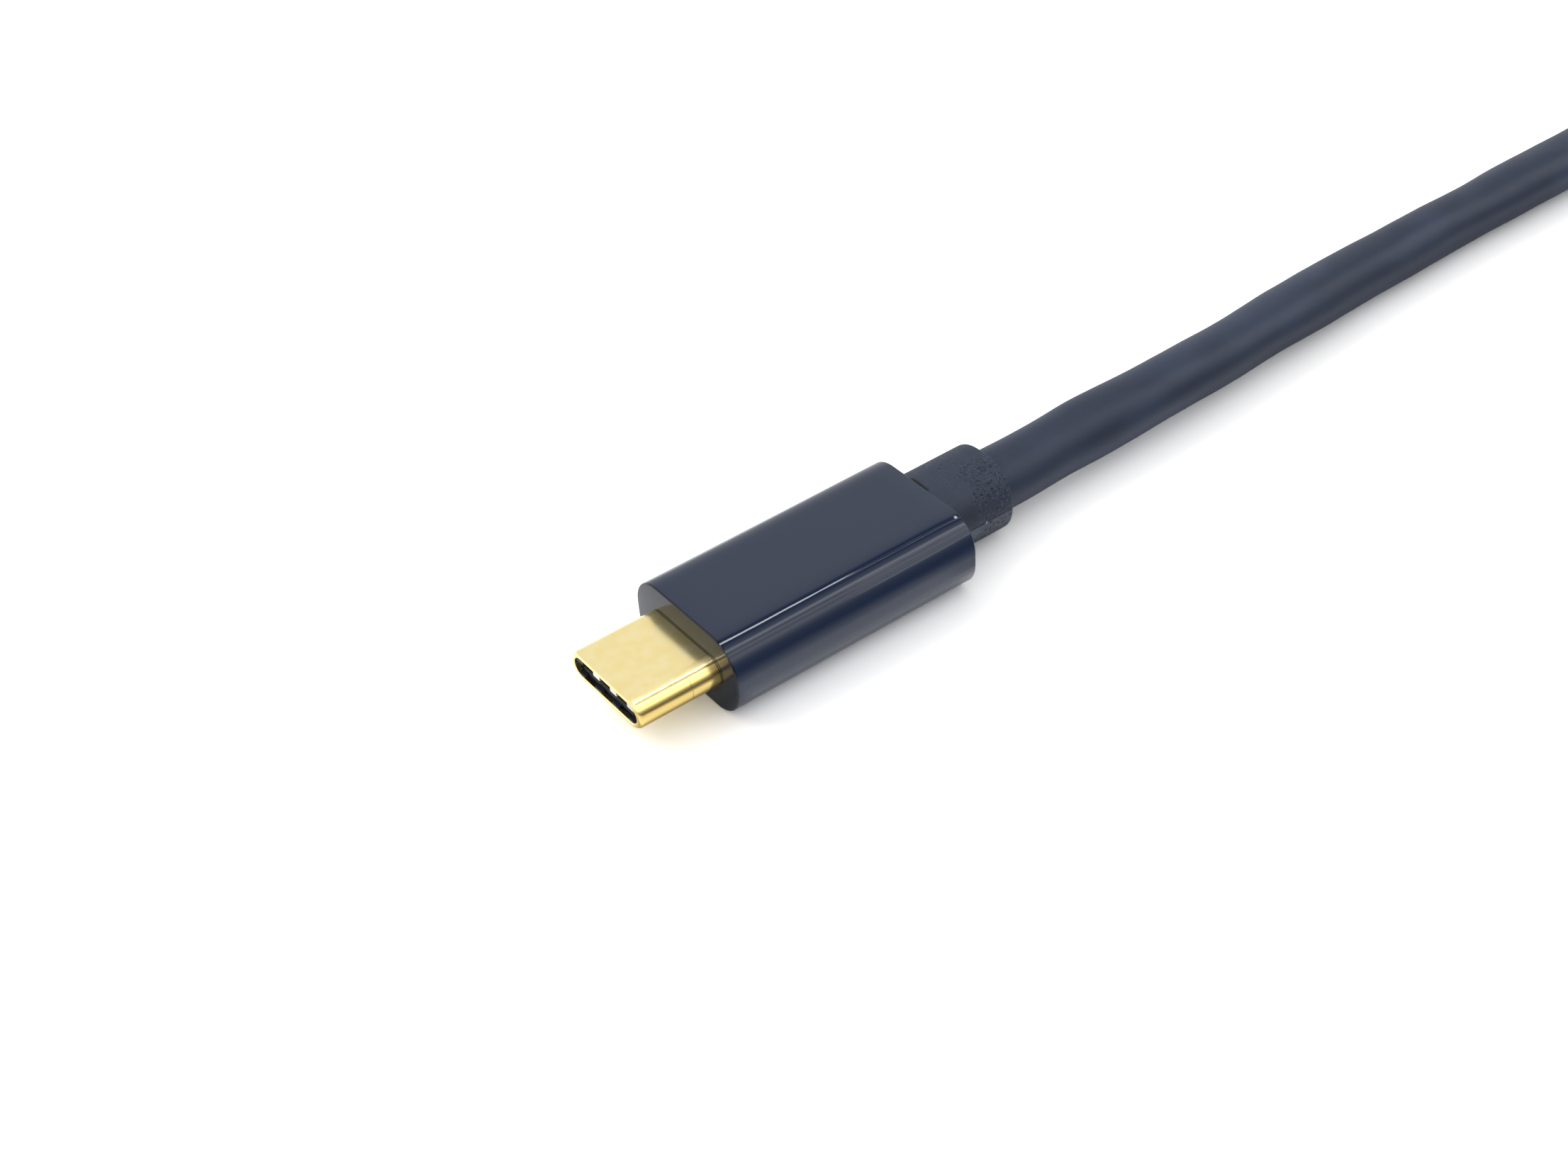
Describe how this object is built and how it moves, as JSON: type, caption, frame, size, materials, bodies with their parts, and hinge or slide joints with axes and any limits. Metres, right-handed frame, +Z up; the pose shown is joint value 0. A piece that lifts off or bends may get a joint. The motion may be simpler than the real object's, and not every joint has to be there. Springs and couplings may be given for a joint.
{
  "type": "usb-c to hdmi adapter lead",
  "caption": "Short adapter lead: USB-C plug in a glossy sleeve with a soft strain relief, a round cable, and a housing with an HDMI receptacle at its far end.",
  "frame": {"origin": "on the table under the middle of the USB-C plug, relief included, the lead and the far housing left out", "axes": "+X from the plug's mouth towards its cable, +Z up, +Y to the plug's far side"},
  "size_m": [0.23, 0.021, 0.0115],
  "materials": {
    "gold_plate": "polished gold plate",
    "contact_gold": "selective gold plate",
    "spring_steel": "bare spring steel",
    "tinned_steel": "tinned",
    "black_plastic": "moulded, matte",
    "circuit_board": "solder mask",
    "ceramic_part": "fired, satin",
    "braid": "woven braid",
    "wire_insulation": "extruded",
    "inner_plastic": "moulded, natural",
    "navy_gloss": "high gloss",
    "navy_matte": "fine spark-eroded texture",
    "navy_jacket": "satin jacket"
  },
  "bodies": {
    "root": {"usb_shell": "gold_plate", "usb_insulator": "black_plastic", "usb_contacts_upper": "contact_gold", "usb_contacts_lower": "contact_gold", "usb_latch_plate": "spring_steel", "usb_emi_spring_upper": "spring_steel", "usb_emi_spring_lower": "spring_steel", "usb_paddle_card": "circuit_board", "usb_card_chip": "black_plastic", "usb_card_capacitors": "ceramic_part", "usb_can_upper": "tinned_steel", "usb_can_lower": "tinned_steel", "usb_crimp": "tinned_steel", "usb_core": "braid", "usb_wires": "wire_insulation", "usb_inner_mould": "inner_plastic", "usb_sleeve": "navy_gloss", "usb_strain_relief": "navy_matte", "cable": "navy_jacket", "hdmi_strain_relief": "navy_matte", "hdmi_sleeve": "navy_gloss", "hdmi_front_plate": "navy_gloss", "hdmi_shell": "gold_plate", "hdmi_insulator": "black_plastic", "hdmi_contacts_upper": "contact_gold", "hdmi_contacts_lower": "contact_gold", "hdmi_board": "circuit_board", "hdmi_converter_chip": "black_plastic", "hdmi_crystal": "tinned_steel", "hdmi_board_parts": "ceramic_part", "hdmi_shield": "tinned_steel", "hdmi_crimp": "tinned_steel", "hdmi_core": "braid", "hdmi_wires": "wire_insulation", "hdmi_inner_mould": "inner_plastic"}
  },
  "joints": []
}
